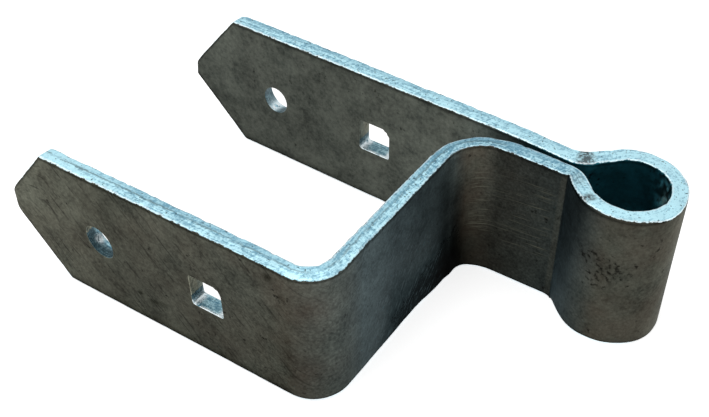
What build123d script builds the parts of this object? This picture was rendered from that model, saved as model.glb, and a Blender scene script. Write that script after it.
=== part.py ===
"""Gate strap hinge: one flat steel bar, folded on edge and hot-dip galvanised.

The bar starts at the far leg, rolls round the pin as an eye, comes back beside the leg as the
return strap, turns across the end of the gate's rail and runs out again as the near leg.
Millimetres. The origin is on the eye's axis at the bar's lower edge, +Z is up along the pin,
-X runs from the eye out along the legs, and +Y points from the near leg to the far one.
"""
import os
from math import cos, radians, sin

from build123d import *

# Flat bar
bar_width = 50.0
bar_thickness = 5.0
edge_radius = 0.4

# Rolled eye and the necks that spread from the straps to it
eye_bore = 21.0
far_leg_offset = 0.5
neck_gap = 2.0
neck_angle = 40.0
neck_inside_radius = 2.5

# Folds, and how far each run leans off square as it sprang back from the press
return_lean = 1.8
cross_setback = 54.0
cross_lean = 0.6
crank_inside_radius = 11.0
corner_inside_radius = 7.0

# Legs that clasp the rail
rail_gap = 78.5
near_flare = 1.84
leg_reach = 111.0

# Noses, cropped by hand: the tip's middle stands off the bar's middle by its rise, and its upper
# corner lies behind its lower one by its rake
far_nose_length = 19.5
far_tip_height = 7.5
far_tip_rise = -0.2
far_tip_rake = 2.0
far_tip_radius = 1.5
near_nose_length = 17.5
near_tip_height = 8.0
near_tip_rise = 1.0
near_tip_rake = 0.0
near_tip_radius = 8.0

# Bolt holes, by their distance from the end of the rail and their height off the bar's middle
round_hole_diameter = 10.5
far_round_reach = 75.0
far_round_rise = -0.8
near_round_reach = 76.1
near_round_rise = 0.1
square_hole_side = 12.0
square_corner_radius = 1.5
far_square_reach = 34.0
far_square_rise = 0.4
near_square_reach = 35.6
near_square_rise = -0.4

# The fold line is the face that touches the rail and the pin, so every fit is measured on it.
# Where a bend turns away from that face, the face takes the bend's outer radius.
bore_radius = eye_bore / 2
neck_face_radius = neck_inside_radius + bar_thickness
crank_face_radius = crank_inside_radius + bar_thickness
neck = radians(neck_angle)


def neck_kink_x(height):
    """X at which the neck, a tangent of the bore, has come down to this height off the axis."""
    return -(bore_radius - height * cos(neck)) / sin(neck)


far_root = Vector(-cross_setback, far_leg_offset)
far_heading = Vector(-1, 0)
far_nose = far_root + far_heading * leg_reach
far_kink = Vector(neck_kink_x(far_leg_offset), far_leg_offset)
far_tangent = Vector(-bore_radius * sin(neck), bore_radius * cos(neck))

return_height = neck_gap - far_leg_offset
return_tangent = Vector(far_tangent.X, -far_tangent.Y)
return_kink = Vector(neck_kink_x(return_height), -return_height)
return_heading = Vector(-1, 0).rotate(Axis.Z, return_lean)

cross_line = Axis((-cross_setback, 0, 0), Vector(0, -1).rotate(Axis.Z, cross_lean))
crank_corner = cross_line.intersect(Axis(return_kink, return_heading))

near_root = cross_line.intersect(Axis((0, far_leg_offset - rail_gap, 0), (1, 0, 0)))
near_heading = Vector(-1, 0).rotate(Axis.Z, near_flare)
near_nose = near_root + near_heading * leg_reach


def rail_face(root, heading):
    """A leg's face on the rail: X runs out to the nose, and Y up from the bar's middle."""
    return Plane(root + Vector(0, 0, bar_width / 2), x_dir=heading, z_dir=heading.cross(Vector(0, 0, 1)))


def nose_outline(nose_length, tip_height, tip_rise, tip_rake, tip_radius):
    """A nose as a closed line: two slanting crops, and a blunt tip with rounded corners."""
    corner = leg_reach - nose_length
    FilletPolyline(
        (corner, bar_width / 2),
        (leg_reach - tip_rake, tip_rise + tip_height / 2),
        (leg_reach, tip_rise - tip_height / 2),
        (corner, -bar_width / 2),
        radius=[tip_radius, tip_radius],
    )
    Line((corner, -bar_width / 2), (corner, bar_width / 2))


far_nose_form = (far_nose_length, far_tip_height, far_tip_rise, far_tip_rake, far_tip_radius)
near_nose_form = (near_nose_length, near_tip_height, near_tip_rise, near_tip_rake, near_tip_radius)
legs = [
    (
        rail_face(far_root, far_heading),
        far_nose_form,
        (far_round_reach, far_round_rise),
        (far_square_reach, far_square_rise),
    ),
    (
        rail_face(near_root, near_heading),
        near_nose_form,
        (near_round_reach, near_round_rise),
        (near_square_reach, near_square_rise),
    ),
]

with BuildPart() as hinge_strap:
    # The folded bar seen from above: each run of the fold line, thickened away from the rail
    with BuildSketch() as folded_bar:
        with BuildLine():
            FilletPolyline(far_nose, far_kink, far_tangent, radius=[neck_face_radius])
            offset(amount=bar_thickness, side=Side.LEFT)
        make_face()
        with BuildLine():
            CenterArc((0, 0), bore_radius, 90 + neck_angle, -180 - 2 * neck_angle)
            offset(amount=bar_thickness, side=Side.LEFT)
        make_face()
        with BuildLine():
            FilletPolyline(
                return_tangent,
                return_kink,
                crank_corner,
                near_root,
                near_nose,
                radius=[neck_face_radius, crank_face_radius, corner_inside_radius],
            )
            offset(amount=bar_thickness, side=Side.LEFT)
        make_face()
    extrude(amount=bar_width)

    # Noses cropped to a blunt point, and the bolt holes
    for leg_face, nose_form, round_place, square_place in legs:
        with BuildSketch(leg_face) as leg_cuts:
            with Locations((leg_reach, 0)):
                Rectangle(nose_form[0], bar_width, align=(Align.MAX, Align.CENTER))
            with BuildLine():
                nose_outline(*nose_form)
            make_face(mode=Mode.SUBTRACT)
            with Locations(round_place):
                Circle(round_hole_diameter / 2)
            with Locations(square_place):
                RectangleRounded(square_hole_side, square_hole_side, square_corner_radius)
        extrude(amount=bar_thickness, both=True, mode=Mode.SUBTRACT)

    # The bar's long edges are rounded by rolling and by the zinc
    bar_edges = hinge_strap.faces().filter_by(Axis.Z)
    fillet(bar_edges.edges(), edge_radius)

hinge_strap.part.label = "hinge_strap"

os.makedirs("parts", exist_ok=True)
export_step(hinge_strap.part, "parts/hinge_strap.step")
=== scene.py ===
"""Gate strap hinge: one flat bar folded on edge, galvanised, on a plain stage.

The bar is worked out flat and then folded. A point of the flat bar has three measures: s runs along
the bar's rail side from the far nose to the near one, w runs up across its width, and n runs through
its thickness, from the rail side out. Millimetres until the mesh is made, which is in metres.
"""
import functools
import math
from dataclasses import dataclass

import bpy
import numpy as np
from bpy.props import FloatProperty, FloatVectorProperty, PointerProperty
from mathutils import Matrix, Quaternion, Vector


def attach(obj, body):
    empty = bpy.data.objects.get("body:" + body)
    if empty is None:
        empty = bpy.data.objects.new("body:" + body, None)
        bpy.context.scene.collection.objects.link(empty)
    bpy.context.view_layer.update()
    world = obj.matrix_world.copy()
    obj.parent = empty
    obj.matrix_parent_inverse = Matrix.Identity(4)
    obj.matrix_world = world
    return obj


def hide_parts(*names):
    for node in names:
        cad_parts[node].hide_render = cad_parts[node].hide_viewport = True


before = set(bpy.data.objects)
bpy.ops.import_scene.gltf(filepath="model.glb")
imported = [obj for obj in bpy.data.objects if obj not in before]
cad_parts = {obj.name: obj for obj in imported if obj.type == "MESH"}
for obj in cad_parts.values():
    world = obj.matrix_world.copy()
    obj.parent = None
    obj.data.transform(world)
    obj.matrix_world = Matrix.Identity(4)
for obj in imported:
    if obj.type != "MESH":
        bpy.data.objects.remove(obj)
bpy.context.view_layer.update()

bl_info = {
    "name": "Gate strap hinge",
    "version": (1, 0, 0),
    "blender": (4, 5, 0),
    "location": "3D View > Sidebar > Hinge",
    "description": "Folds a galvanised bar into a gate strap hinge and sets a plain stage for it",
    "category": "Object",
}

MM = 0.001
CAD_NODE = "hinge_strap"


def linear(hex_colour):
    """Linear red, green and blue of an sRGB hex colour."""
    srgb = np.array([int(hex_colour[i:i + 2], 16) for i in (0, 2, 4)]) / 255
    return tuple(np.where(srgb <= 0.04045, srgb / 12.92, ((srgb + 0.055) / 1.055) ** 2.4))


def length(name, description, default):
    """A length that a user may change, in metres."""
    return FloatProperty(name=name, description=description, default=default, unit="LENGTH", precision=5)


def colour(name, description, hex_colour):
    """A colour that a user may change."""
    return FloatVectorProperty(name=name, description=description, default=linear(hex_colour),
                               subtype="COLOR", size=3, min=0, max=1)


class HingeStrapSizes(bpy.types.PropertyGroup):
    """Sizes of the folded bar"""
    bar_width: length("Bar width", "Height of the bar as it stands on edge", 0.050)
    bar_thickness: length("Bar thickness", "Thickness of the flat bar", 0.0050)
    edge_radius: length("Edge radius", "Rounding of the bar's long edges", 0.00040)
    eye_bore: length("Eye bore", "Inside diameter of the rolled eye", 0.0212)
    rail_gap: length("Rail gap", "Space between the legs for the gate's rail", 0.07835)
    leg_reach: length("Leg reach", "Length of each leg from the end of the rail", 0.111)
    round_hole: length("Round hole", "Diameter of the round bolt holes", 0.0105)
    square_hole: length("Square hole", "Side of the square bolt holes", 0.012)
    near_flare: FloatProperty(name="Near flare", description="How far the near leg stands open",
                              default=math.radians(1.84), unit="ROTATION")


class HingeFinish(bpy.types.PropertyGroup):
    """Colours of the zinc"""
    face_dark: colour("Face, dark", "Dull zinc in the darker blotches", "30312a")
    face_light: colour("Face, light", "Dull zinc in the lighter blotches", "5a5b50")
    face_brown: colour("Face, brown", "Dull zinc with a brown cast", "56493d")
    # Blue cast of the faces: a painted reflection of the sky
    face_sky_reflection: colour("Face, cool", "Dull zinc that kept its blue cast", "3a474b")
    # Teal cast inside the eye and the slit: painted shade
    face_hollow_shade: colour("Face, deep", "Teal zinc inside the eye and the slit", "1f5763")
    pit: colour("Pit", "Dirt in the pits and scratches of a face", "0f0e0b")
    edge_pale: colour("Edge, pale", "Bright zinc on the sheared edges", "c9f4ff")
    edge_blue: colour("Edge, blue", "Bright zinc in the shear streaks", "70a3b9")
    # White of the edges' corners and of the glints in the holes: a painted highlight
    edge_highlight: colour("Edge, rim", "Zinc burnished along the edges' corners", "f0fbff")
    # Dark zinc of the edges: specks, and painted shade on the holes' walls
    edge_dark_and_shaded: colour("Edge, dull", "Zinc left dull inside the holes", "3a5057")
    edge_grey: colour("Edge, grey", "Grey scuffs across an edge", "5d6b6f")


class StageSettings(bpy.types.PropertyGroup):
    """Light of the stage"""
    floor_colour: colour("Floor", "Colour of the pale floor", "f4f4f4")
    sky_strength: FloatProperty(name="Sky", description="Strength of the even light", default=0.6, min=0)
    top_power: FloatProperty(name="Top light", description="Power of the softbox overhead", default=3.0,
                             min=0, unit="POWER")


# Runs of the folded bar, from the far nose to the near one, and two more places: its end and the eye's back
(FAR_LEG, FAR_BEND, FAR_NECK, EYE, NEAR_NECK, NEAR_BEND, RETURN, CRANK, CROSS, CORNER, NEAR_LEG, END,
 EYE_BACK) = range(13)

# Folded bar: places that go with the sizes above, in millimetres and degrees
FAR_LEG_OFFSET = 0.5
NECK_GAP = 2.0
NECK_ANGLE = 40.0
FAR_NECK_INSIDE_RADIUS = 6.0
NEAR_NECK_INSIDE_RADIUS = 1.2
RETURN_LEAN = 1.8
CROSS_SETBACK = 54.0
CROSS_LEAN = 0.6
CRANK_INSIDE_RADIUS = 11.0
CORNER_INSIDE_RADIUS = 7.0

# How far the edges give at each bend: the stretched side sinks, the pressed side swells, both fade out
# over a length before and after the bend, and the lower edge does it by its own share
BEND_GIVE = (
    (FAR_BEND, 0.3, 0.2, 5.0, 5.0, 1.0),
    (EYE, -0.2, 0.4, 6.0, 6.0, 0.3),
    (NEAR_BEND, 0.4, 0.8, 4.0, 4.0, 1.35),
    (CRANK, 0.75, 0.0, 4.0, 6.0, 0.3),
    (CORNER, 0.45, 0.3, 7.0, 6.0, 0.2),
)
# The give starts this far inside a bend, and grows towards an edge with this power of the height
BEND_INSET = 2.0
CURL_POWER = 7
# Swells of the bar off its fold line: run whose start it lies at, offset along it, half length, and depth
# at the lower and at the upper edge
BAR_SWELLS = (
    (FAR_BEND, -2.0, 9.0, -0.9, -0.8),
    (EYE, 0.0, 6.0, -0.45, 0.0),
    (EYE, 27.0, 9.0, 0.2, 0.3),
    (NEAR_NECK, 0.0, 7.0, 0.55, 0.55),
    (RETURN, 18.0, 16.0, 0.1, -0.5),
    (CRANK, 12.0, 4.5, -0.6, 0.0),
    (CRANK, 21.0, 4.0, 0.8, 0.0),
    (CROSS, 4.0, 8.0, 1.0, 0.0),
)
# Values along the bar: knots with a place, an offset from its start and one or more values.
# How far the outer side and the rail side stand out from an even thickness, and how far the lower edge hangs
OUTER_STANDS = (
    (FAR_LEG, 0, 0.3), (FAR_LEG, 30, 0.65), (FAR_BEND, -10, 0.6), (EYE, 0, 0.35), (EYE_BACK, -8, 0.15),
    (EYE_BACK, 0, -0.25), (NEAR_NECK, -12, -0.2), (NEAR_NECK, 0, -0.1), (NEAR_BEND, 0, 0),
)
RAIL_STANDS = ((CROSS, 8, 0), (CORNER, -10, 0.3), (NEAR_LEG, 0, 0), (NEAR_LEG, 10, 0.4))
LOWER_SAG = (
    (FAR_BEND, -10, 0.2), (FAR_BEND, 0, 0), (EYE_BACK, -6, 0.5), (EYE_BACK, 3, 0.7), (NEAR_NECK, -14, -0.15),
    (NEAR_NECK, 0, -0.15), (RETURN, 0, 0), (CRANK, -2, 0), (CRANK, 8, 0.3), (CROSS, -2, 0.3), (CROSS, 8, 0),
    (NEAR_LEG, -8, 0), (NEAR_LEG, 2, 0.2),
)
SAG_HEIGHT = 8.0
# Lowest point of the bar, which stands on the floor
LOWEST = -0.7

# Noses: length above and below, tip height, rise of the tip's middle, rake of the tip, radius of its corners
FAR_NOSE = (19.5, 20.5, 5.4, -1.25, 0.6, 1.8)
NEAR_NOSE = (15.9, 17.7, 8.0, 1.2, 0.0, 8.0)
# A nose's crushed corner: its depth, how far nearer the tip it lies, its half length and its height
CRUSH_DEPTH = 0.55
CRUSH_SHIFT = 0.6
CRUSH_HALF = 1.6
CRUSH_HEIGHT = 4.0

# Flat grid of the bar, in millimetres and in counts of points
COLUMN_STEP = 0.62
HOLE_BLOCK = 6.0
HOLE_COLLAR = 12.5
HOLE_COLUMNS = 16
HOLE_ROWS = 13
SIDE_ROWS = 16
TOP_POINTS = 10
LOWER_POINTS = 8
RIM_MARGIN = 1.6
HOLE_RIM = 0.25
WALL_STEPS = 7
# Rows this near to an edge stay where they are round a hole
STILL_MARGIN = 1.0
# A hole's cut corner starts at this sum of the shares along and up, and fades in over this much
CUT_START = 1.66
CUT_FADE = 0.25
# Room for rounding
SLACK = 1e-6
# Columns that crowd towards a tip: distance of the first from it, span, count and crowding
TIP_FIRST = 0.45
TIP_SPAN = 2.6
TIP_COLUMNS = 8
TIP_CROWDING = 1.6
# Columns that round off a tip: distance from it, how far each is drawn in, what would draw one in to a point,
# and what makes it count as tip
TIP_PLACES = np.array([0.0, 0.0, 0.0, 0.1, 0.24])
TIP_INSETS = np.array([2.3, 1.4, 0.45, 0.2, 0.06])
TIP_SHRINK = 2.5
TIP_MARKED = 0.15
# UV map of the flat bar, and how many millimetres are one unit in it
FLAT_MAP = "flat_bar"
FLAT_UNIT = 100.0
# Count of random heights in a lattice, along and up
LATTICE = (101, 97)


def direction(degrees):
    """Unit vector at an angle from +X, seen from above."""
    return np.array([math.cos(math.radians(degrees)), math.sin(math.radians(degrees))])


def crossing(point_a, degrees_a, point_b, degrees_b):
    """Where two lines meet, each given by a point and its angle."""
    sides = np.column_stack([direction(degrees_a), -direction(degrees_b)])
    along = np.linalg.solve(sides, np.subtract(point_b, point_a))
    return np.asarray(point_a) + along[0] * direction(degrees_a)


def bent_runs(corners, radii):
    """Runs of a line with rounded corners: lengths, and turn per millimetre (left is positive).

    Each bend takes radius * tan(half its turn) off the two straight runs that meet there.
    """
    steps = np.diff(corners, axis=0)
    headings = np.arctan2(steps[:, 1], steps[:, 0])
    turns = (np.diff(headings) + np.pi) % (2 * np.pi) - np.pi
    radii = np.asarray(radii)
    cut = radii * np.tan(np.abs(turns) / 2)
    straight = np.hypot(steps[:, 0], steps[:, 1])
    straight[:-1] -= cut
    straight[1:] -= cut
    lengths = np.empty(2 * len(straight) - 1)
    bends = np.zeros_like(lengths)
    lengths[0::2] = straight
    lengths[1::2] = radii * np.abs(turns)
    bends[1::2] = np.sign(turns) / radii
    return lengths, bends


class FoldLine:
    """The bar's rail side seen from above, as straight runs and bends from the far nose to the near one."""

    def __init__(self, size):
        thick = size.bar_thickness / MM
        bore = size.eye_bore / MM / 2
        reach = size.leg_reach / MM
        near_y = FAR_LEG_OFFSET - size.rail_gap / MM
        return_y = FAR_LEG_OFFSET - NECK_GAP
        far_tangent = bore * direction(90 + NECK_ANGLE)
        near_tangent = far_tangent * (1, -1)
        far_root = np.array([-CROSS_SETBACK, FAR_LEG_OFFSET])
        far_kink = crossing(far_root, 0, far_tangent, NECK_ANGLE)
        near_kink = crossing((0, return_y), 0, near_tangent, -NECK_ANGLE)
        crank = crossing((-CROSS_SETBACK, 0), 90 + CROSS_LEAN, near_kink, RETURN_LEAN)
        near_root = crossing((-CROSS_SETBACK, 0), 90 + CROSS_LEAN, (0, near_y), 0)
        near_nose = near_root - reach * direction(math.degrees(size.near_flare))
        far_nose = far_root - (reach, 0)
        before = bent_runs(np.array([far_nose, far_kink, far_tangent]), [FAR_NECK_INSIDE_RADIUS + thick])
        after = bent_runs(
            np.array([near_tangent, near_kink, crank, near_root, near_nose]),
            [NEAR_NECK_INSIDE_RADIUS + thick, CRANK_INSIDE_RADIUS + thick, CORNER_INSIDE_RADIUS],
        )
        eye_turn = math.radians(180 + 2 * NECK_ANGLE)
        lengths = np.concatenate([before[0], [bore * eye_turn], after[0]])
        self.bends = np.concatenate([before[1], [-1 / bore], after[1]])
        self.ends = np.cumsum(lengths)
        self.starts = self.ends - lengths
        self.total = self.ends[-1]
        self.eye_back = (self.starts[EYE] + self.ends[EYE]) / 2
        self.places = np.append(self.starts, [self.total, self.eye_back])
        turn = lengths * self.bends
        self.headings = np.concatenate([[0], np.cumsum(turn)[:-1]])
        chords = lengths * np.sinc(turn / 2 / np.pi)
        middle = self.headings + turn / 2
        steps = chords[:, None] * np.column_stack([np.cos(middle), np.sin(middle)])
        self.points = far_nose + np.vstack([[0, 0], np.cumsum(steps, axis=0)[:-1]])

    def fold(self, s, n):
        """Folded x and y of flat-bar points.

        The point of the line at s lies on its run's arc: a chord of the run so far, at the run's mean
        heading. The depth n then stands off it to the left.
        """
        run = np.clip(np.searchsorted(self.ends, s), 0, len(self.ends) - 1)
        along = s - self.starts[run]
        turn = along * self.bends[run]
        chord = along * np.sinc(turn / 2 / np.pi)
        middle = self.headings[run] + turn / 2
        heading = self.headings[run] + turn
        x = self.points[run, 0] + chord * np.cos(middle) - n * np.sin(heading)
        y = self.points[run, 1] + chord * np.sin(middle) + n * np.cos(heading)
        return x, y

    def along(self, s, knots):
        """Values at s, or one of them, that run straight from knot to knot."""
        place, offset, *columns = np.array(knots, float).T
        at = self.places[place.astype(int)] + offset
        values = [np.interp(s, at, column) for column in columns]
        return values if len(values) > 1 else values[0]


def ease(t):
    """Smooth step from 0 to 1."""
    t = np.clip(t, 0, 1)
    return t * t * (3 - 2 * t)


def window(t, low, high, fade):
    """1 between low and high, with a smooth fall over the fade on both sides."""
    return ease((t - low) / fade + 1) * ease((high - t) / fade + 1)


def hump(t, middle, half):
    """Smooth hump of height 1: e to the power of minus the square of (distance from its middle / half)."""
    return np.exp(-((t - middle) / half) ** 2)


def mottle(x, y, cell, seed):
    """Smooth random field from -1 to 1: random heights on a lattice, eased between its corners."""
    columns, rows = LATTICE
    heights = np.random.default_rng(seed).uniform(-1, 1, LATTICE)
    gx, gy = x / cell, y / cell
    ix, iy = np.floor(gx).astype(int), np.floor(gy).astype(int)
    fx, fy = ease(gx - ix), ease(gy - iy)
    low = heights[ix % columns, iy % rows] * (1 - fx) + heights[(ix + 1) % columns, iy % rows] * fx
    iy = iy + 1
    high = heights[ix % columns, iy % rows] * (1 - fx) + heights[(ix + 1) % columns, iy % rows] * fx
    return low * (1 - fy) + high * fy


@dataclass
class Hole:
    """A bolt hole: its middle on the flat bar, its half sizes, how square it is, and how it leans.

    The outline is a superellipse: |a / half_long|^square + |b / half_high|^square = 1. The punch cut off the
    upper corner towards the eye, or the one away from it if the cut is negative. The wall is painted lit up
    to a share of the depth, from the rail side out, and a painted highlight runs along the lip on one side of
    the
    bar: 0 is the rail side and 1 the outer side. The hole breaks out wider by its taper on the outer side, or
    on the rail side if the taper is negative.
    """
    s: float
    w: float
    half_long: float
    half_high: float
    square: float
    lean: float = 0.0
    cut: float = 0.0
    taper: float = 0.0
    bright_depth: float = 0.0
    lip_side: float = 0.0

    def breakout(self, depth):
        """How much wider the hole is at a depth: 0 is the rail side and 1 the outer side."""
        return self.taper * depth if self.taper > 0 else -self.taper * (1 - depth)


def bolt_holes(size, total):
    """The four holes, by their distance from the end of the rail and their height off the bar's middle."""
    reach = size.leg_reach / MM
    middle = size.bar_width / MM / 2
    round_half = size.round_hole / MM / 2
    square_half = size.square_hole / MM / 2
    near = total - reach
    return [
        Hole(reach - 74.9, middle - 0.9, round_half - 0.65, round_half - 0.35, 2.0, taper=1.6),
        Hole(reach - 33.8, middle + 0.4, square_half - 0.3, square_half - 0.15, 16.0, cut=0.75),
        Hole(near + 35.6, middle - 0.4, square_half - 0.4, square_half - 0.2, 16.0, lean=0.03, cut=-0.5,
             lip_side=1.0),
        Hole(near + 76.1, middle + 0.1, round_half - 0.5, round_half + 0.25, 2.2, lean=0.15, taper=-0.7,
             bright_depth=0.3, lip_side=1.0),
    ]


def column_stations(holes, total):
    """Places of the grid's columns along the bar, and how far each is drawn in to round off a tip.

    The columns meet the sides of the holes' blocks, and crowd towards the two tips.
    """
    near_tip = TIP_FIRST + TIP_SPAN * np.linspace(0, 1, TIP_COLUMNS) ** TIP_CROWDING
    knots = [near_tip[-1]]
    for hole in holes:
        knots += [hole.s - HOLE_BLOCK, hole.s + HOLE_BLOCK]
    knots.append(total - near_tip[-1])
    spans = []
    for low, high in zip(knots[:-1], knots[1:]):
        count = max(HOLE_COLUMNS if abs(high - low - 2 * HOLE_BLOCK) < SLACK else 0,
                    int(math.ceil((high - low) / COLUMN_STEP)))
        spans.append(np.linspace(low, high, count, endpoint=False))
    inner = np.concatenate([near_tip[:-1]] + spans + [total - near_tip[::-1]])
    stations = np.concatenate([TIP_PLACES, inner, total - TIP_PLACES[::-1]])
    inset = np.concatenate([TIP_INSETS, np.zeros(len(inner)), TIP_INSETS[::-1]])
    return stations, inset


def section_ring(size):
    """The bar's section as a closed ring: up the rail side, over the top, down the outer side and back.

    Gives each point's height and depth, its distance round the ring, and the points of the rail side and of
    the outer side from below up. Corners are quarter circles.
    """
    width, thick, radius = size.bar_width / MM, size.bar_thickness / MM, size.edge_radius / MM
    block_low, block_high = width / 2 - HOLE_BLOCK, width / 2 + HOLE_BLOCK
    rim = np.array([radius, 0.75, 1.15])
    below = np.concatenate([rim, np.linspace(RIM_MARGIN, block_low, SIDE_ROWS)])
    block = np.linspace(block_low, block_high, HOLE_ROWS + 1)
    side = np.concatenate([below, block[1:-1], width - below[::-1]])
    corner = np.radians([22.5, 45.0, 67.5])
    bow, rise = radius * (1 - np.cos(corner)), radius * np.sin(corner)
    top_n = np.linspace(radius, thick - radius, TOP_POINTS)
    low_n = np.linspace(thick - radius, radius, LOWER_POINTS)
    high_w = width - radius
    heights = [side, high_w + rise, np.full(TOP_POINTS, width), high_w + rise[::-1], side[::-1],
               radius - rise, np.zeros(LOWER_POINTS), (radius - rise)[::-1]]
    depths = [np.zeros(len(side)), bow, top_n, thick - bow[::-1], np.full(len(side), thick),
              thick - bow, low_n, bow[::-1]]
    heights, depths = np.concatenate(heights), np.concatenate(depths)
    steps = np.hypot(np.diff(heights), np.diff(depths))
    round_way = np.concatenate([[0], np.cumsum(steps)])
    rail_rows = np.arange(len(side))
    outer_rows = len(side) + 2 * len(corner) + TOP_POINTS + rail_rows[::-1]
    return heights, depths, round_way, rail_rows, outer_rows


def nose_limit(from_tip, nose_length, to_edge, tip_half, tip_radius):
    """Half height of a nose at a distance from its tip, on one side of the tip's middle.

    A slanting line from the tip's corner to the bar's edge; the corner is rounded by an arc that
    starts upright on the tip, and the bar's edge caps it.
    """
    slope = (to_edge - tip_half) / nose_length
    turn = math.atan2(1, slope)
    tangent = tip_radius * math.tan(turn / 2)
    line = tip_half + slope * from_tip
    inside = np.clip(tip_radius - from_tip, 0, tip_radius)
    arc = tip_half - tangent + np.sqrt(tip_radius ** 2 - inside ** 2)
    return np.minimum(np.where(from_tip < tangent * math.sin(turn), arc, line), to_edge)


def shape_noses(s, w, inset, width, total):
    """Draws the bar's rows together towards each nose; the rim rows keep their distance from the edge."""
    middle = width / 2
    for from_tip, nose, sign in ((s, FAR_NOSE, 1), (total - s, NEAR_NOSE, -1)):
        length_above, length_below, tip_height, rise, rake, radius = nose
        high = nose_limit(from_tip, length_above, middle - rise, tip_height / 2, radius)
        low = nose_limit(from_tip, length_below, middle + rise, tip_height / 2, radius)
        top = middle + rise + high
        bottom = middle + rise - low
        room = top - bottom
        margin = np.minimum(RIM_MARGIN, 0.3 * room)
        share = (w - RIM_MARGIN) / (width - 2 * RIM_MARGIN)
        inner = bottom + margin + share * (room - 2 * margin)
        lower_rim = bottom + w * margin / RIM_MARGIN
        upper_rim = top - (width - w) * margin / RIM_MARGIN
        drawn = np.where(w < RIM_MARGIN, lower_rim, np.where(w > width - RIM_MARGIN, upper_rim, inner))
        in_nose = from_tip < max(length_above, length_below) + 1
        w = np.where(in_nose, drawn, w)
        centre = middle + rise
        w = np.where(in_nose, centre + (w - centre) * (1 - inset / TIP_SHRINK), w)
        lean = np.clip((w - centre) / tip_height + 0.5, 0, 1)
        s = s + sign * rake * lean * np.exp(-from_tip / 5) * in_nose
    return s, w


def open_hole(s, w, depth, hole, width):
    """Moves the grid round a hole's square block onto the hole's outline, fading out over a collar."""
    a, b = s - hole.s, w - width / 2
    reach = np.maximum(np.abs(a), np.abs(b))
    pull = 1 - ease((reach - HOLE_BLOCK) / (HOLE_COLLAR - HOLE_BLOCK))
    size = (np.abs(a) ** hole.square + np.abs(b) ** hole.square) ** (1 / hole.square)
    scale = reach / np.maximum(size, SLACK) / HOLE_BLOCK
    long = a * scale * (hole.half_long + HOLE_RIM + hole.breakout(depth))
    high = b * scale * (hole.half_high + HOLE_RIM + hole.breakout(depth))
    along_corner = np.sign(hole.cut) * long / hole.half_long + high / hole.half_high
    to_corner = np.clip((along_corner - CUT_START) / CUT_FADE, 0, 1)
    long = long - to_corner * hole.cut
    high = high - to_corner * abs(hole.cut)
    new_a = long + hole.lean * high
    new_b = high + hole.w - width / 2
    near = reach < HOLE_COLLAR
    s = np.where(near, s + pull * (new_a - a), s)
    w = np.where(near, w + pull * (new_b - b), w)
    return s, w


def bend_curl(line, s, w, n, width, thick):
    """Rise of the edges where the bar is bent: the stretched side sinks in and the pressed side swells."""
    rise = np.zeros_like(s)
    depth = np.clip(n / thick, 0, 1)
    up = (w - width / 2) / (width / 2)
    for run, sink, swell, before, after, below in BEND_GIVE:
        pressed = depth if line.bends[run] > 0 else 1 - depth
        start, end = line.starts[run] + BEND_INSET, line.ends[run] - BEND_INSET
        here = ease((s - start) / before + 1) * ease((end - s) / after + 1)
        rise += here * ((sink + swell) * pressed - sink) * np.where(up > 0, 1.0, below)
    return rise * np.sign(up) * np.abs(up) ** CURL_POWER


def bar_swell(line, s, up):
    """How far the bar stands off its fold line, as smooth humps; up runs from 0 below to 1 above."""
    off = np.zeros_like(s)
    for run, along, half, low, high in BAR_SWELLS:
        off += (low + (high - low) * up) * hump(s, line.starts[run] + along, half)
    return off


def nose_crush(line, s, w, depth, width):
    """How far the crop crushed each nose's upper corner: outside on the far leg, inside on the near one."""
    sink = np.zeros_like(s)
    for from_tip, nose, back in ((s, FAR_NOSE, depth), (line.total - s, NEAR_NOSE, 1 - depth)):
        sink += CRUSH_DEPTH * hump(from_tip, nose[0] - CRUSH_SHIFT, CRUSH_HALF) * ease(back)
    return sink * ease((w - width + CRUSH_HEIGHT) / CRUSH_HEIGHT)


def uneven_thickness(line, s, depth):
    """How far each side of the bar stands out: the far leg is thicker and the eye's back thinner.

    depth is 0 on the rail side and 1 on the outer side, and each side's share fades across the bar.
    """
    return line.along(s, OUTER_STANDS) * depth - line.along(s, RAIL_STANDS) * (1 - depth)


def lower_sag(line, s, w):
    """How far the bar's lower edge hangs: the legs and the eye's back hang, the eye's front stands up."""
    return line.along(s, LOWER_SAG) * (1 - ease(w / SAG_HEIGHT))


def edge_wear(s, w, n, around, wall, width, thick):
    """Small unevenness of the bar: shifts in height and in depth.

    Long waves lie all over it. Towards an upper corner of the section, nicks of two lengths bite in both
    ways, and the sheared edge itself is rippled. The lower corners are worn smooth.
    """
    from_top = np.minimum(width - w, w)
    from_side = np.minimum(n, thick - n)
    worn = np.where(w > width / 2, 1.0, 0.25) * (1 - wall)
    corner = hump(np.hypot(from_top, from_side), 0, 0.9) * worn
    short = np.clip(mottle(s, around, cell=1.5, seed=11) - 0.15, 0, 1)
    long = np.clip(mottle(s, around, cell=4.0, seed=12) - 0.35, 0, 1)
    bite = 0.28 * short + 0.4 * long
    on_edge = (from_side > 0.3) * hump(from_top, 0, 0.8) * worn
    inward_w = np.where(w > width / 2, -1.0, 1.0)
    inward_n = np.where(n > thick / 2, -1.0, 1.0)
    ripple = 0.07 * mottle(s, around, cell=1.3, seed=13) + 0.08 * mottle(s, around, cell=3.5, seed=14)
    shift_w = inward_w * corner * bite * 0.5 + on_edge * ripple
    shift_n = inward_n * corner * bite + 0.05 * mottle(s, w, cell=22.0, seed=15)
    return shift_w, shift_n


def add_object(name, data):
    """A new object in the scene."""
    thing = bpy.data.objects.new(name, data)
    bpy.context.scene.collection.objects.link(thing)
    return thing


class HINGE_OT_fold_strap(bpy.types.Operator):
    """Fold the galvanised bar into the strap hinge"""
    bl_idname = "hinge.fold_strap"
    bl_label = "Fold strap"

    def execute(self, context):
        strap = strap_object(context.scene.hinge_sizes)
        strap.data.materials.append(hot_dip_zinc(context.scene.hinge_finish))
        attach(strap, "root")
        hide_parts(CAD_NODE)
        return {"FINISHED"}


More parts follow.
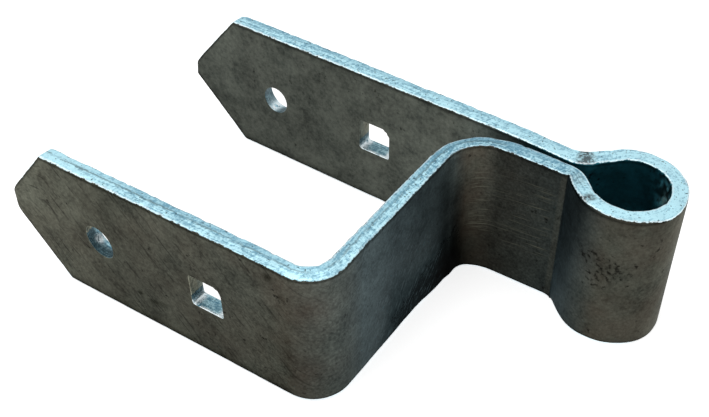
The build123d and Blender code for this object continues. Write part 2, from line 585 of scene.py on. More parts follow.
def strap_object(size):
    """The folded bar as one closed mesh, with the marks that its zinc reads.

    The bar's skin, a wall of quads through each hole, and a small face that closes each tip.
    """
    width, thick = size.bar_width / MM, size.bar_thickness / MM
    line = FoldLine(size)
    holes = bolt_holes(size, line.total)
    skin, quads, loops, tips = bar_skin(size, line, holes)
    parts, faces = [skin], [quads]
    count = skin[0].size
    for hole, (rail_loop, outer_loop) in zip(holes, loops):
        part = hole_wall(hole, skin[0].ravel()[rail_loop], skin[1].ravel()[rail_loop], thick)
        inner = count + np.arange(part[0].size).reshape(part[0].shape)
        count += inner.size
        rings = np.vstack([rail_loop[None], inner, outer_loop[None]])
        after = np.roll(rings, -1, axis=1)
        faces.append(np.stack([rings[:-1], after[:-1], after[1:], rings[1:]], axis=-1).reshape(-1, 4))
        parts.append(part)
    points = np.hstack([part.reshape(len(part), -1) for part in parts])
    s, w, n, ring_w, u, v, wall, tip, dulled, burnished = points

    shift_w, shift_n = edge_wear(s, ring_w, n, v, wall, width, thick)
    z = w + shift_w + bend_curl(line, s, w, n, width, thick) - lower_sag(line, s, w)
    z = np.maximum(z - nose_crush(line, s, ring_w, n / thick, width), LOWEST)
    off = n + shift_n + bar_swell(line, s, w / width) + uneven_thickness(line, s, n / thick)
    x, y = line.fold(s, off)
    mesh = bpy.data.meshes.new("hinge_strap_folded")
    mesh.from_pydata(np.column_stack([x, y, z]) * MM, [], np.concatenate(faces).tolist() + tips)
    mesh.shade_smooth()

    marks = edge_marks(line, s, ring_w, n, wall, width, thick)
    marks.update(face_marks(line, s, ring_w, n, wall, marks["edge"], width, thick))
    # A wall shows edge zinc where it is painted lit, and face zinc where painted shade lies
    lit_wall = np.interp(1 - dulled, [0.0, 0.05], [-0.6, 0.6])
    edge = np.where(tip > 0, 1.0, np.where(wall > 0, lit_wall, marks["edge"]))
    marks.update(edge=edge, dulled=dulled, burnished=burnished)
    for name, values in marks.items():
        attribute = mesh.attributes.new(name, "FLOAT", "POINT")
        attribute.data.foreach_set("value", values.astype(np.float32))
    corner = np.empty(len(mesh.loops), np.int32)
    mesh.loops.foreach_get("vertex_index", corner)
    uv = np.column_stack([u, v])[corner] / FLAT_UNIT
    mesh.uv_layers.new(name=FLAT_MAP).data.foreach_set("uv", uv.astype(np.float32).ravel())
    mesh.validate()
    return add_object("strap", mesh)


def bar_skin(size, line, holes):
    """The bar's skin: a grid of columns along it and a ring round its section.

    Gives its points, its quads with the holes' blocks left out of both sides, the loops of points round each
    hole on the rail side and on the outer side, and the rings that close the tips. A point is its flat place
    s, w, n, its height on the plain section, its place on the unrolled skin, whether it is in a hole's wall
    or on a tip, how much painted shade a wall has there, and where a highlight is painted on it.
    """
    width, thick = size.bar_width / MM, size.bar_thickness / MM
    stations, inset = column_stations(holes, line.total)
    heights, depths, round_way, rail_rows, outer_rows = section_ring(size)
    columns, ring = len(stations), len(heights)
    index = np.arange(columns * ring).reshape(columns, ring)
    s, ring_w = np.broadcast_arrays(stations[:, None], heights[None, :])
    w = ring_w
    n = np.broadcast_to(depths[None, :], s.shape)
    drawn_in = np.broadcast_to(inset[:, None], s.shape)
    cell = np.ones((columns - 1, ring), bool)
    on_face = (w > STILL_MARGIN) & (w < width - STILL_MARGIN)
    block = np.array([-HOLE_BLOCK, HOLE_BLOCK]) - SLACK
    loops = []
    for hole in holes:
        c0, c1 = np.searchsorted(stations, hole.s + block)
        r0, r1 = np.searchsorted(heights[rail_rows], width / 2 + block)
        cell[c0:c1, rail_rows[r0]:rail_rows[r1]] = False
        cell[c0:c1, outer_rows[r1]:outer_rows[r0]] = False
        across, up = np.arange(c0, c1), np.arange(r0, r1)
        col = np.concatenate([across, np.full(r1 - r0, c1), across[::-1] + 1, np.full(r1 - r0, c0)])
        row = np.concatenate([np.full(c1 - c0, r0), up, np.full(c1 - c0, r1), up[::-1] + 1])
        loops.append((index[col, rail_rows[row]], index[col, outer_rows[row]]))
        opened_s, opened_w = open_hole(s, w, n / thick, hole, width)
        s, w = np.where(on_face, opened_s, s), np.where(on_face, opened_w, w)
    s, w = shape_noses(s, w, drawn_in, width, line.total)
    col, row = np.nonzero(cell)
    after = (row + 1) % ring
    corners = [index[col, row], index[col + 1, row], index[col + 1, after], index[col, after]]
    n = thick / 2 + (n - thick / 2) * (1 - drawn_in / TIP_SHRINK)
    points = np.stack(np.broadcast_arrays(s, w, n, ring_w, s, round_way, 0, drawn_in > TIP_MARKED, 0, 0))
    return points, np.column_stack(corners), loops, [index[0, ::-1].tolist(), index[-1].tolist()]


def hole_wall(hole, loop_s, loop_w, thick):
    """A hole's wall from the rail side out: a rounded rim, the wall, and a rounded rim.

    Each of its rings is the hole's loop on the rail side, scaled about the hole's middle: by a quarter
    circle in the rims, and by the break-out at its depth. A point is given as in the skin.
    """
    angle = np.radians([30.0, 60.0, 90.0])
    rim_in = HOLE_RIM * (1 - np.sin(angle))
    rim_depth = HOLE_RIM * (1 - np.cos(angle))
    between = np.linspace(HOLE_RIM, thick - HOLE_RIM, WALL_STEPS)[1:-1]
    depth = np.concatenate([rim_depth, between, thick - rim_depth[::-1]])
    offset = np.concatenate([rim_in, np.zeros(len(between)), rim_in[::-1]])
    half = (hole.half_long + hole.half_high) / 2
    scale = (half + offset + hole.breakout(depth / thick)) / (half + HOLE_RIM + hole.breakout(0))
    a, b = loop_s - hole.s, loop_w - hole.w
    arc = np.cumsum(np.hypot(np.diff(a, prepend=a[-1]), np.diff(b, prepend=b[-1])))
    scale, n = scale[:, None], depth[:, None]
    s, w = hole.s + scale * a, hole.w + scale * b
    dulled, burnished = wall_marks(hole, a, b, n / thick)
    return np.stack(np.broadcast_arrays(s, w, n, w, arc, n, 1, 0, dulled, burnished))


def wall_marks(hole, a, b, depth):
    """How shaded a hole's wall is, and where a highlight is painted on it.

    It is painted as dark as the faces at the sides and above, and lighter where it faces up, as painted
    light.
    Painted highlights lie in the lower corners of a square hole and along its lower lip, in a streak in a
    round hole, and in a spot where a round hole is lit deep inside.
    """
    up = np.clip(-b / hole.half_high, -1, 1)
    side = np.abs(a) / hole.half_long
    if hole.square > 4:
        floor = 0.45 + 0.15 * hole.lip_side
        lit = 0.1 * ease((up - 0.3) / 0.4) + floor * ease((up - 0.84) / 0.12)
        corner = 1.9 * hump(up, 1.0, 0.12) * hump(side, 0.9, 0.18)
        lip = 1.2 * (up > 0.8) * ease((0.2 - np.abs(depth - hole.lip_side)) / 0.1)
        shine = np.maximum(corner, lip)
    elif hole.bright_depth > 0:
        deep = ease((hole.bright_depth - depth) / 0.25 + 0.5)
        lit = 0.02 + 0.04 * ease(up + 0.5) + 0.8 * deep
        shine = 4.0 * hump(up, 0.66, 0.16) * hump(depth, 0.32, 0.17)
    else:
        shine = hump(a / hole.half_long, -0.42, 0.28) * ease(up / 0.4)
        lit = 0.06 + 0.04 * ease(up) + 0.9 * shine
    return 1 - np.clip(lit, 0, 1), np.clip(shine, 0, 1)


# Grey scuffs across the edges: run whose start it lies at, offset along it, half length, lowest and highest
# share of the depth, strength
EDGE_SCUFFS = (
    (FAR_BEND, 5.0, 3.0, -0.2, 1.2, 1.3),
    (NEAR_BEND, -1.2, 2.6, 0.3, 1.2, 0.45),
    (NEAR_NECK, -1.2, 1.2, 0.4, 0.9, 1.15),
)

# Dark spots on the near leg's outer face: distance from the nose, height, half length, half height and
# strength. The first five are stain; the last two darken a crescent beside the round hole, a painted shade
# of a dimple round it.
NEAR_STAINS_AND_SHADE = (
    (48.6, 11.0, 1.0, 0.7, 0.6),
    (54.0, 9.5, 2.2, 0.6, 0.4),
    (57.5, 10.5, 1.8, 0.6, 0.4),
    (98.6, 46.0, 1.4, 1.4, 0.6),
    (102.5, 40.0, 1.2, 1.0, 0.35),
    # Painted shade of a dimple beside the near round hole
    (28.0, 26.5, 1.8, 4.2, 0.35),
    (29.5, 19.0, 1.2, 0.9, 0.4),
)

# Zinc of the edges along the bar: how far the eye's bright zinc reaches over its outer corner, where a
# groove parts the edge as a share of its depth, how white its corners are on each side as a painted
# highlight, and how pale it is
EYE_REACH = (
    (EYE_BACK, -2, 0), (EYE_BACK, 2.5, 0.9), (EYE_BACK, 5, 0.9), (EYE_BACK, 8, 0), (EYE_BACK, 12, -0.35),
    (NEAR_NECK, -5, -0.35), (NEAR_NECK, 1, 0),
)
GROOVE = ((NEAR_BEND, 2, -0.1), (RETURN, 6, 0.45), (CRANK, 0, 0.5), (CROSS, 0, 0.42), (NEAR_LEG, 0, 0.41))
RAIL_HIGHLIGHT = (
    (FAR_LEG, 0, 0.9), (FAR_BEND, -30, 0.6), (EYE, 0, 0.7), (EYE_BACK, 0, 0.5), (NEAR_NECK, 0, 0.6),
    (CRANK, 0, 0.3), (CROSS, 0, 0.65), (CORNER, 0, 0.55), (NEAR_LEG, 0, 0.2), (END, 0, -0.2),
)
OUTER_HIGHLIGHT = (
    (FAR_LEG, 0, -0.2), (EYE, -1, 0), (EYE, 0, 0.4), (EYE_BACK, 4, 0.9), (NEAR_NECK, 0, 0.5),
    (RETURN, 0, 0.4), (CROSS, 0, 0.3), (CORNER, -8, 0.3), (NEAR_LEG, 0, 0), (NEAR_LEG, 15, 0.15),
    (END, -50, 0.7), (END, 0, 0.9),
)
EDGE_PALE = (
    (FAR_LEG, 0, 0.8), (FAR_LEG, 12, 0.35), (FAR_LEG, 30, 0.05), (FAR_BEND, -20, 0.32), (FAR_BEND, 0, 0.4),
    (EYE, 0, 0.3), (EYE_BACK, 0, 0.55), (NEAR_NECK, 0, 0.45), (RETURN, 0, -0.05), (CRANK, 0, -0.22),
    (CROSS, 0, -0.2), (CROSS, 10, 0.08), (CORNER, -8, 0.15), (NEAR_LEG, 0, 0.28), (NEAR_LEG, 12, 0.08),
    (END, -50, 0.15), (END, -25, 0.6), (END, 0, 1.1),
)
# Outer faces along the bar: blue cast, a painted reflection of the sky; lightness, painted light and shade;
# and brown cast
OUTER_FACE = (
    (FAR_LEG, 0, 0.2, 1.0, 0.2),
    (EYE, 0, 0.2, 1.5, 0.2),
    (EYE_BACK, 0, 0.1, 1.75, 0.3),
    (NEAR_NECK, -18, 0.1, 0.92, 0.4),
    (NEAR_NECK, -8, 0.1, 0.8, 0.5),
    (NEAR_NECK, 0, 0.8, 0.93, 0),
    (NEAR_BEND, 0, 1, 1.03, 0),
    (RETURN, -1, 0.7, 0.5, 0.2),
    (RETURN, -0.4, 0.3, 0.62, 0.2),
    (RETURN, 1.4, 0.3, 0.62, 0.2),
    (RETURN, 2, 0.5, 0.5, 0.1),
    (CRANK, 0, 0.25, 0.69, 0.35),
    (CRANK, 8, 0.1, 0.68, 0.8),
    (CRANK, 14, 0.1, 0.66, 0.7),
    (CROSS, -4, 0.6, 1.25, 0.1),
    (CROSS, 4, 0.8, 1.3, 0),
    (CORNER, -24, 0.9, 1.0, 0),
    (CORNER, -8, 0.8, 1.6, 0),
    (NEAR_LEG, 0, 0.1, 0.87, 0.55),
    (NEAR_LEG, 14, 0.1, 1.05, 0.25),
    (END, -40, 0.05, 1.08, 0.15),
    (END, 0, 0.05, 1.9, 0.1),
)
# Faces on the rail side along the bar: blue cast, a painted reflection of the sky; deep teal cast, painted
# shade inside the eye and the slit; and lightness, painted light and shade
RAIL_FACE = (
    (FAR_LEG, 0, 0.25, 0, 1.15),
    (FAR_LEG, 60, 0.25, 0, 1.2),
    (FAR_LEG, 85, 0.25, 0, 1.5),
    (FAR_LEG, 105, 0.25, 0, 1.9),
    (FAR_BEND, -18, 0.25, 0.1, 2.1),
    (FAR_BEND, -12, 0, 0.7, 2.1),
    (FAR_BEND, 0, 0, 1, 2.0),
    (EYE_BACK, 0, 0, 1, 0.3),
    (NEAR_BEND, 0, 0, 1, 0.9),
    (CRANK, 0, 0, 0.8, 1.0),
    (CROSS, 0, 0.3, 0, 0.8),
    (END, 0, 0.2, 0, 1.0),
)
# How fast faces grow lighter with the height, as painted light from above and painted shade towards the
# floor, and how pitted, gritty and scored they are
FACE_FALL = (
    (FAR_BEND, 0, 0.3), (EYE, 0, 0), (NEAR_BEND, 0, 0.1), (RETURN, 4, 0.1), (CRANK, 0, 1.3), (CRANK, 8, 1.3),
    (CRANK, 14, 2.2), (CROSS, -4, 3.4), (CROSS, 4, 2.0), (CORNER, -24, 0.9), (CORNER, -8, 0.4),
    (NEAR_LEG, 0, 0.35), (END, 0, 0.2),
)
FACE_PITS = (
    (FAR_LEG, 0, 0.4), (FAR_BEND, 0, 0.4), (NEAR_NECK, -25, 0.6), (NEAR_NECK, 4, 0.1), (RETURN, 4, 0.55),
    (CRANK, 0, 0.5), (CROSS, 0, 0.3), (CORNER, 0, 0.3), (NEAR_LEG, 0, 0.6), (END, 0, 0.35),
)
FACE_GRIT = (
    (FAR_BEND, 0, 0), (EYE, 0, 0.08), (NEAR_NECK, 0, 0.1), (RETURN, 0, 0.2), (CRANK, 0, 0.2),
    (CRANK, 8, 0.14), (CROSS, 0, 0.12), (CORNER, -20, 0.12), (CORNER, 0, 0.18), (NEAR_LEG, 10, 0.15),
    (END, -80, 0.08), (END, 0, 0.06),
)
FACE_SCORES = ((CORNER, 0, 0), (NEAR_LEG, 0, 0.8), (END, 0, 1.0))
# Painted lightness of the walls inside the holes of each leg
FAR_WALL_SHADE = 2.7
NEAR_WALL_SHADE = 4.2


def edge_marks(line, s, w, n, wall, width, thick):
    """How the zinc differs over the sheared edges.

    edge: millimetres into an edge from its corner, below 0 on a face. band: millimetres across an edge from
    the groove that parts it. pale: how much paler an edge is. rimmed: how white its corner is, as a painted
    highlight, and how much darker where below 0. scuff: grey scuffs across it.
    """
    rail_side = n < thick / 2
    edge = np.minimum(n, thick - n) - np.minimum(w, width - w) - np.where(w < width / 2, 0.8, 0.0)
    edge += line.along(s, EYE_REACH) * (w > width / 2) * ~rail_side
    band = np.where(s < line.ends[EYE], thick, n - line.along(s, GROOVE) * thick)
    band = np.where(s < line.ends[FAR_LEG], 0.6 * thick - n, band)
    band = np.where(wall > 0, thick, band)
    rimmed = np.where(rail_side, line.along(s, RAIL_HIGHLIGHT), line.along(s, OUTER_HIGHLIGHT))
    return {
        "edge": np.clip(edge, -3, 3),
        "band": np.clip(band, -3, 3),
        "pale": line.along(s, EDGE_PALE) * (1 - wall),
        "rimmed": rimmed * (1 - wall),
        "scuff": scuffs(line, s, n, thick) * (1 - wall),
    }


def face_marks(line, s, w, n, wall, edge, width, thick):
    """How the zinc differs over the faces.

    cool, deep and brown: their cast; the cool cast is a painted reflection of the sky, and the deep teal cast
    painted shade inside the eye and the slit. shade: their lightness, where 1 is plain, as painted light and
    shade: set zone by zone and lighter towards the top, with painted shadow under the upper lips, at the feet
    and at the crank's foot, darker spots of stain and of painted shade, and the holes' walls drawn lighter;
    zinc ran together in bright lumps inside the eye. pitted, scored, gritty, drawn and flecked: pits,
    slanting scratches, fine grit, lines along the bar, and short bright flecks.
    """
    starts, ends = line.starts, line.ends
    rail_side = n < thick / 2
    from_top = np.minimum(w, width - w)
    cool_outer, shade_outer, brown_outer = line.along(s, OUTER_FACE)
    cool_rail, hollow_shade_rail, shade_rail = line.along(s, RAIL_FACE)
    # Painted light and shade: lightness set zone by zone, and lighter towards the top
    lighter = np.exp(line.along(s, FACE_FALL) * (w / width - 0.6))
    shade = np.where(rail_side, shade_rail, shade_outer) * lighter
    on_far = s < ends[FAR_LEG]
    on_leg = on_far | (s > ends[CORNER])
    # Painted shadow under the upper lip, and painted shade along the foot and deep at the crank's foot, near
    # the floor
    lip_shadow = hump(from_top, 0.7, 0.5) * (w > width / 2) * (edge < 0)
    foot_shade = hump(w, 0, np.where(on_leg, 1.5, 0.6)) * (edge < 0)
    crank_foot_shade = hump(s, ends[CRANK] - 2, 12) * (1 - ease((w - 3) / 17)) * ~rail_side
    shade *= (1 - 0.6 * lip_shadow) * (1 - 0.6 * foot_shade) * (1 - 0.85 * crank_foot_shade)
    shade *= 1 - stains_and_shade(s, w, n, line.total, thick)
    # The holes' walls take a set painted lightness
    shade = np.where(wall > 0, np.where(on_far, FAR_WALL_SHADE, NEAR_WALL_SHADE), shade)
    lumps = hump(s, line.eye_back - 7.2, 4) * hump(w, 43, 6) * rail_side
    shade += 20.0 * lumps * np.clip(mottle(s, w, cell=1.1, seed=21) + 0.1, 0, 1)
    pitted_eye = 1.25 * hump(s, ends[EYE] - 8, 7.5) * hump(w, 30, 12) * ~rail_side
    scored = line.along(s, FACE_SCORES) * (~rail_side | (from_top < 0.3))
    grooved = 0.8 * window(s, starts[CRANK] + 4, ends[CROSS], 8.0) * (from_top < 0.3)
    drawn = window(s, starts[RETURN] + 6, starts[RETURN] + 30, 5.0) * window(w, 18, 40, 6.0)
    return {
        "cool": np.where(rail_side, cool_rail, cool_outer),
        "deep": np.where(rail_side, hollow_shade_rail * (1 - 0.6 * lumps), 0.0),
        "brown": np.where(rail_side, 0.05, brown_outer),
        "shade": shade,
        "pitted": np.maximum(line.along(s, FACE_PITS), pitted_eye),
        "scored": np.maximum(scored, grooved),
        "gritty": line.along(s, FACE_GRIT) * ~rail_side,
        "drawn": drawn * ~rail_side,
        "flecked": window(s, ends[CRANK] + 6, ends[CROSS] - 8, 6.0) * ~rail_side,
    }


def stains_and_shade(s, w, n, total, thick):
    """Dark spots, on the outer side only: stain, and painted shade beside the near round hole."""
    dark = np.zeros_like(s)
    for from_nose, height, half_long, half_high, strength in NEAR_STAINS_AND_SHADE:
        spot = hump(total - s, from_nose, half_long) * hump(w, height, half_high)
        dark = np.maximum(dark, strength * spot)
    return dark * (n > thick / 2)


def scuffs(line, s, n, thick):
    """Grey scuffs as soft patches along the bar, each over its own share of the thickness."""
    grey = np.zeros_like(s)
    for run, along, half, low, high, strength in EDGE_SCUFFS:
        here = strength * np.exp(-((s - line.starts[run] - along) / half) ** 4)
        grey = np.maximum(grey, here * window(n / thick, low, high, 0.25))
    return grey


def add_node(tree, kind, inputs=(), output=0, **settings):
    """Adds a shader node with its settings, fills its inputs, and gives one of its outputs if it has any.

    The inputs come in order, or by their number or name. A socket is linked, and anything else is a value.
    """
    node = tree.nodes.new("ShaderNode" + kind)
    for name, value in settings.items():
        setattr(node, name, value)
    for name, value in inputs.items() if isinstance(inputs, dict) else enumerate(inputs):
        if isinstance(value, bpy.types.NodeSocket):
            tree.links.new(value, node.inputs[name])
        else:
            node.inputs[name].default_value = value
    return node.outputs[output] if len(node.outputs) else None


def node_adder(owner):
    """Empties the node tree of a material or a world, and gives what adds a node to it."""
    owner.use_nodes = True
    owner.node_tree.nodes.clear()
    return functools.partial(add_node, owner.node_tree)


# Marks of the mesh that the zinc reads
MARKS = ("edge", "band", "pale", "rimmed", "dulled", "burnished", "scuff", "cool", "deep", "brown", "shade",
         "pitted", "scored", "gritty", "drawn", "flecked")

# Even patterns of the zinc: cell in millimetres, detail and roughness. Grain, specks and sparkle are finer
# on the real zinc, and are drawn this coarse so that they show.
EVEN_PATTERNS = (
    ("cloud", 12.0, 2.0, 0.5),
    ("blotch", 3.6, 4.0, 0.65),
    ("grain", 1.1, 3.0, 0.6),
    ("hue", 16.0, 2.0, 0.5),
    ("pit", 1.7, 2.0, 0.6),
    ("cluster", 5.0, 2.0, 0.5),
    ("speck", 0.9, 1.0, 0.5),
    ("crinkle", 1.3, 3.0, 0.6),
    ("sparkle", 0.75, 2.0, 0.6),
)

# Drawn-out patterns on the flat bar: direction in degrees, and size along and across it in millimetres.
# Scratches are thinner on the real zinc, and are drawn this wide so that they show.
DRAWN_PATTERNS = (
    ("score", -48.0, 12.0, 1.0),
    ("line", 6.0, 14.0, 0.55),
    ("fleck", 55.0, 4.0, 0.7),
    ("streak", 70.0, 2.5, 0.8),
    ("smear", 3.0, 7.0, 0.7),
)


def hot_dip_zinc(finish):
    """Hot-dip galvanised steel, weathered on its faces and bright on its sheared edges.

    The weathered zinc on the faces gives a dark, soft and blotched look, with dirt in pits and scratches, and
    carries painted light, shade and sky reflection. The edges keep bright zinc, streaked by the shear across
    them, with painted white highlights along their corners and in the holes.
    """
    material = bpy.data.materials.new("galvanised_steel_hot_dipped")
    add = node_adder(material)
    mark = {name: add("Attribute", (), "Fac", attribute_name=name) for name in MARKS}
    pattern = zinc_patterns(add)
    face, tone, dirt = dull_zinc(add, finish, mark, pattern)
    edge, sheared, streaks, shine = bright_zinc(add, finish, mark, pattern)
    skin = add("Mix", {0: sheared, 6: face, 7: edge}, 2, data_type="RGBA")
    rough = add("MapRange", {0: pattern["blotch"], 3: 0.42, 4: 0.62})
    rough = add("Mix", {0: shine, 2: rough, 3: 0.4})
    relief = add("Mix", {0: sheared, 2: tone, 3: streaks})
    relief = add("Math", (relief, dirt), operation="SUBTRACT")
    bump = add("Bump", {"Height": relief, "Strength": 0.5, "Distance": 0.08 * MM})
    # Specular tint follows the painted shade, so painted dark zones also lose their sheen at a glance
    glance = add("MapRange", {0: mark["shade"], 4: 0.5})
    glance = add("Mix", {0: sheared, 2: glance, 3: 1.0})
    zinc = add("BsdfPrincipled", {"Base Color": skin, "Metallic": 0.95, "Roughness": rough,
                                  "Specular Tint": glance, "Normal": bump})
    add("OutputMaterial", {"Surface": zinc})
    return material


def zinc_patterns(add):
    """Noise of each pattern, by its name: even ones by place, drawn-out ones along the flat bar."""
    place = add("TexCoord", (), "Object")
    flat = add("UVMap", (), "UV", uv_map=FLAT_MAP)
    pattern = {}
    for name, cell, detail, roughness in EVEN_PATTERNS:
        pattern[name] = add("TexNoise", {"Vector": place, "Scale": 1 / (cell * MM), "Detail": detail,
                                         "Roughness": roughness}, "Fac")
    for name, degrees, along, across in DRAWN_PATTERNS:
        turned = add("Mapping", {"Vector": flat, "Rotation": (0, 0, math.radians(degrees)),
                                 "Scale": (along / FLAT_UNIT, across / FLAT_UNIT, 1)}, vector_type="TEXTURE")
        pattern[name] = add("TexNoise", {"Vector": turned, "Scale": 1.0, "Detail": 2.0,
                                         "Roughness": 0.6}, "Fac")
    return pattern


def dull_zinc(add, finish, mark, pattern):
    """Faces: blotches from dark to light, a brown cast, a blue cast of painted sky reflection, a teal cast of
    painted shade, painted light and shade, grit, pits and scratches.

    Gives their colour, their tone from dark to light, and where dirt lies.
    """
    tone = add("Mix", {0: 0.5, 2: pattern["cloud"], 3: pattern["blotch"]})
    tone = add("Mix", {0: 0.35, 2: tone, 3: pattern["grain"]})
    tone = add("MapRange", (tone, 0.38, 0.62))
    face = add("Mix", {0: tone, 6: (*finish.face_dark, 1), 7: (*finish.face_light, 1)}, 2, data_type="RGBA")
    hue = add("MapRange", (pattern["hue"], 0.35, 0.7))
    brown = add("Math", (hue, mark["brown"]), operation="MULTIPLY")
    face = add("Mix", {0: brown, 6: face, 7: (*finish.face_brown, 1)}, 2, data_type="RGBA")
    cast_tone = add("MapRange", {0: tone, 3: 0.65, 4: 1.35})
    # Blue cast: a painted reflection of the sky. Deep teal cast: painted shade inside the eye and the slit.
    for cast, cast_colour in (("cool", finish.face_sky_reflection), ("deep", finish.face_hollow_shade)):
        cast_skin = add("VectorMath", {0: cast_colour, "Scale": cast_tone}, operation="SCALE")
        face = add("Mix", {0: mark[cast], 6: face, 7: cast_skin}, 2, data_type="RGBA")
    grit = add("MapRange", (pattern["sparkle"], 0.35, 0.65, -1.0))
    grit = add("Math", (grit, mark["gritty"], 1.0), operation="MULTIPLY_ADD")
    # Painted light and shade, then grit
    for lightness in (mark["shade"], grit):
        face = add("VectorMath", {0: face, "Scale": lightness}, operation="SCALE")
    pits = add("Mix", {0: 0.4, 2: pattern["pit"], 3: pattern["cluster"]})
    pits = add("Math", (mark["pitted"], 0.16, pits), operation="MULTIPLY_ADD")
    pits = add("MapRange", (pits, 0.69, 0.78))
    scores = add("MapRange", {0: pattern["score"], 1: 0.43, 2: 0.33, 4: 0.65})
    scores = add("Math", (scores, mark["scored"]), operation="MULTIPLY")
    dirt = add("Math", (pits, scores), operation="MAXIMUM")
    dirt = add("Math", (dirt, 0.85), operation="MULTIPLY")
    face = add("Mix", {0: dirt, 6: face, 7: (*finish.pit, 1)}, 2, data_type="RGBA")
    for name, where, level, share, light in (
        ("score", "scored", 0.64, 0.35, finish.face_light),
        ("line", "drawn", 0.55, 0.7, finish.face_light),
        ("fleck", "flecked", 0.55, 0.5, finish.edge_grey),
    ):
        lines = add("MapRange", {0: pattern[name], 1: level, 2: level + 0.12, 4: share})
        lines = add("Math", (lines, mark[where]), operation="MULTIPLY")
        face = add("Mix", {0: lines, 6: face, 7: (*light, 1)}, 2, data_type="RGBA")
    return face, tone, dirt


def bright_zinc(add, finish, mark, pattern):
    """Edges: shear streaks, a bluer band and a groove on the rail side, specks, scuffs, corners painted white
    as a highlight and darker where the mark is below 0, and painted shade and highlights on the holes' walls.

    Gives their colour, where they lie, their streaks, and where a highlight is painted. The colour starts as
    blue zinc, and each layer is laid over the ones before it.
    """
    wander = add("MapRange", (pattern["crinkle"], 0.3, 0.55, -0.4, 0.08))
    jagged = add("Math", (mark["edge"], wander), operation="ADD")
    sheared = add("MapRange", (jagged, -0.12, 0.05))
    streaks = pattern["streak"]
    for share, name in ((0.6, "smear"), (0.3, "crinkle"), (0.25, "sparkle")):
        streaks = add("Mix", {0: share, 2: streaks, 3: pattern[name]})
    streaks = add("MapRange", (streaks, 0.435, 0.56))
    streaks = add("Math", (streaks, mark["pale"]), operation="ADD", use_clamp=True)
    rail_band = add("MapRange", {0: mark["band"], 1: 0.15, 2: -0.15, 4: 0.4})
    bluer = add("MapRange", {0: mark["pale"], 2: 0.6, 3: 1.0, 4: 0.2})
    rail_band = add("Math", (rail_band, bluer), operation="MULTIPLY")
    groove = add("Math", (mark["band"], wander), operation="ADD")
    groove = add("Math", (groove,), operation="ABSOLUTE")
    groove = add("MapRange", {0: groove, 1: 0.5, 2: 0.15, 4: 0.7})
    broken = add("MapRange", (pattern["smear"], 0.42, 0.52, 0.2))
    for share in (mark["scored"], broken):
        groove = add("Math", (groove, share), operation="MULTIPLY")
    specks = add("MapRange", {0: pattern["speck"], 1: 0.33, 2: 0.27, 4: 0.8})
    specks = add("Math", (specks, groove), operation="MAXIMUM")
    scuff = add("Mix", {0: 0.6, 2: pattern["crinkle"], 3: pattern["sparkle"]})
    scuff = add("MapRange", (scuff, 0.45, 0.6, 1.0, 0.3))
    scuff = add("Math", (mark["scuff"], scuff), operation="MULTIPLY", use_clamp=True)
    # Painted highlight along the corners; below 0 the rim mark darkens them instead
    rim = add("MapRange", {0: jagged, 1: 0.62, 2: 0.4, 4: 0.9})
    worn = add("MapRange", (pattern["sparkle"], 0.36, 0.5, 0.45))
    for share in (worn, mark["rimmed"]):
        rim = add("Math", (rim, share), operation="MULTIPLY")
    darker_rim = add("Math", (rim, -1.0), operation="MULTIPLY", use_clamp=True)
    patchy = add("MapRange", {0: streaks, 3: 1.1, 4: 0.9})
    # Painted shade on the holes' walls
    dull = add("Math", (mark["dulled"], patchy), operation="MULTIPLY", use_clamp=True)
    # Painted highlight inside the holes
    shine = add("MapRange", (pattern["crinkle"], 0.33, 0.48))
    shine = add("Math", (shine, mark["burnished"]), operation="MULTIPLY")
    edge = (*finish.edge_blue, 1)
    for share, layer in (
        (streaks, finish.edge_pale),
        (rail_band, finish.edge_blue),
        (specks, finish.edge_dark_and_shaded),
        (scuff, finish.edge_grey),
        (rim, finish.edge_highlight),
        (darker_rim, finish.edge_dark_and_shaded),
        (dull, finish.edge_dark_and_shaded),
        (shine, finish.edge_highlight),
    ):
        edge = add("Mix", {0: share, 6: edge, 7: (*layer, 1)}, 2, data_type="RGBA")
    return edge, sheared, streaks, shine


# Floor and softbox, in metres
FLOOR_HALF = 4.0
FLOOR_LIFT = 0.68
SOFTBOX_SIDE = 0.8
SOFTBOX_PLACE = (-0.25, -0.2, 0.9)
SOFTBOX_AIM = (-0.08, -0.04, 0.02)

# Camera of the photo: place and aim in millimetres, roll in degrees, lens and sensor in millimetres
CAMERA_PLACE = (72.63, -237.945, 262.902)
CAMERA_AIM = (-86.731, -15.855, 13.543)
CAMERA_ROLL = -0.9049
CAMERA_LENS = 57.379
CAMERA_SENSOR = 36.0
CAMERA_SHIFT = (0.00806, -0.01846)


class HINGE_OT_set_stage(bpy.types.Operator):
    """Set the pale floor, the soft light and the camera"""
    bl_idname = "hinge.set_stage"
    bl_label = "Set stage"

    def execute(self, context):
        stage = context.scene.hinge_stage
        lay_floor(stage)
        light_stage(context.scene, stage)
        place_camera(context.scene)
        context.scene.view_settings.view_transform = "Standard"
        return {"FINISHED"}


def lay_floor(stage):
    """A flat square floor under the bar's lower edge; the camera sees it a little lighter than it is lit."""
    half, low = FLOOR_HALF, LOWEST * MM
    mesh = bpy.data.meshes.new("floor")
    corners = [(-half, -half, low), (half, -half, low), (half, half, low), (-half, half, low)]
    mesh.from_pydata(corners, [], [(0, 1, 2, 3)])
    material = bpy.data.materials.new("floor_matt_paint")
    add = node_adder(material)
    paint = add("BsdfDiffuse", {"Color": (*stage.floor_colour, 1)})
    rays = add("LightPath").node.outputs
    seen = add("Math", (rays["Is Camera Ray"], rays["Is Glossy Ray"]), operation="MAXIMUM")
    lift = add("Math", (seen, FLOOR_LIFT), operation="MULTIPLY")
    glow = add("Emission", {"Strength": lift})
    both = add("AddShader", (paint, glow))
    add("OutputMaterial", {"Surface": both})
    mesh.materials.append(material)
    floor = add_object("floor", mesh)


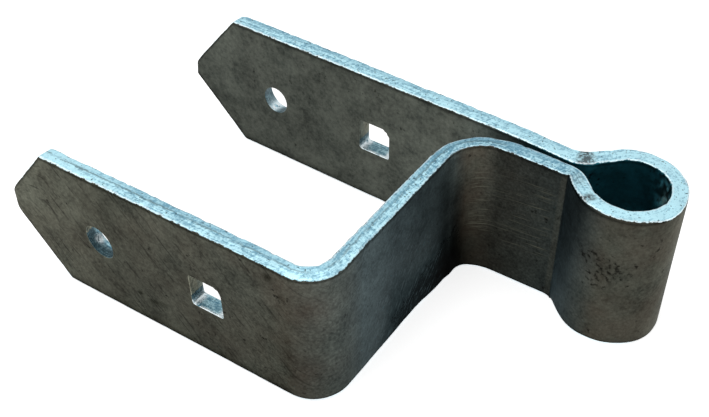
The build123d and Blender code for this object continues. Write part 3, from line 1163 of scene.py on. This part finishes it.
def light_stage(scene, stage):
    """Even white light all round, white to the camera and in reflections, and a broad softbox overhead."""
    world = bpy.data.worlds.new("studio")
    add = node_adder(world)
    rays = add("LightPath").node.outputs
    seen = add("Math", (rays["Is Camera Ray"], rays["Is Glossy Ray"]), operation="MAXIMUM")
    seen = add("Math", (seen, rays["Is Transmission Ray"]), operation="MAXIMUM")
    strength = add("MapRange", {0: seen, 3: stage.sky_strength, 4: 1.0})
    sky = add("Background", {"Strength": strength})
    add("OutputWorld", {"Surface": sky})
    scene.world = world
    lamp = bpy.data.lights.new("softbox_top", "AREA")
    lamp.shape = "SQUARE"
    lamp.size = SOFTBOX_SIDE
    lamp.energy = stage.top_power
    softbox = add_object("softbox_top", lamp)
    softbox.location = SOFTBOX_PLACE
    aim = Vector(SOFTBOX_AIM) - softbox.location
    softbox.rotation_euler = aim.to_track_quat("-Z", "Y").to_euler()


def place_camera(scene):
    """The photo's camera: it looks from its place to its aim, rolled a little about that line."""
    camera = bpy.data.cameras.new("camera")
    camera.lens = CAMERA_LENS
    camera.sensor_width = CAMERA_SENSOR
    camera.shift_x, camera.shift_y = CAMERA_SHIFT
    camera.clip_start = 0.01
    viewer = add_object("camera", camera)
    viewer.location = Vector(CAMERA_PLACE) * MM
    look = (Vector(CAMERA_AIM) - Vector(CAMERA_PLACE)).to_track_quat("-Z", "Y")
    viewer.rotation_mode = "QUATERNION"
    viewer.rotation_quaternion = look @ Quaternion((0, 0, 1), math.radians(CAMERA_ROLL))
    scene.camera = viewer


class HINGE_PT_sidebar(bpy.types.Panel):
    """Lists the hinge's sizes and colours, the stage's light, and the buttons that fold the strap and set the
    stage
    """
    bl_idname = "HINGE_PT_sidebar"
    bl_label = "Gate strap hinge"
    bl_space_type = "VIEW_3D"
    bl_region_type = "UI"
    bl_category = "Hinge"

    def draw(self, context):
        for settings, group in SETTINGS.items():
            box = self.layout.box()
            for name in group.__annotations__:
                box.prop(getattr(context.scene, settings), name)
        for operator in (HINGE_OT_fold_strap, HINGE_OT_set_stage):
            self.layout.operator(operator.bl_idname)


SETTINGS = {"hinge_sizes": HingeStrapSizes, "hinge_finish": HingeFinish, "hinge_stage": StageSettings}
CLASSES = (*SETTINGS.values(), HINGE_OT_fold_strap, HINGE_OT_set_stage, HINGE_PT_sidebar)


def register():
    for cls in CLASSES:
        bpy.utils.register_class(cls)
    for name, group in SETTINGS.items():
        setattr(bpy.types.Scene, name, PointerProperty(type=group))


def unregister():
    for name in SETTINGS:
        delattr(bpy.types.Scene, name)
    for cls in reversed(CLASSES):
        bpy.utils.unregister_class(cls)


def main():
    register()
    bpy.ops.hinge.fold_strap()
    bpy.ops.hinge.set_stage()


if __name__ == "__main__":
    main()
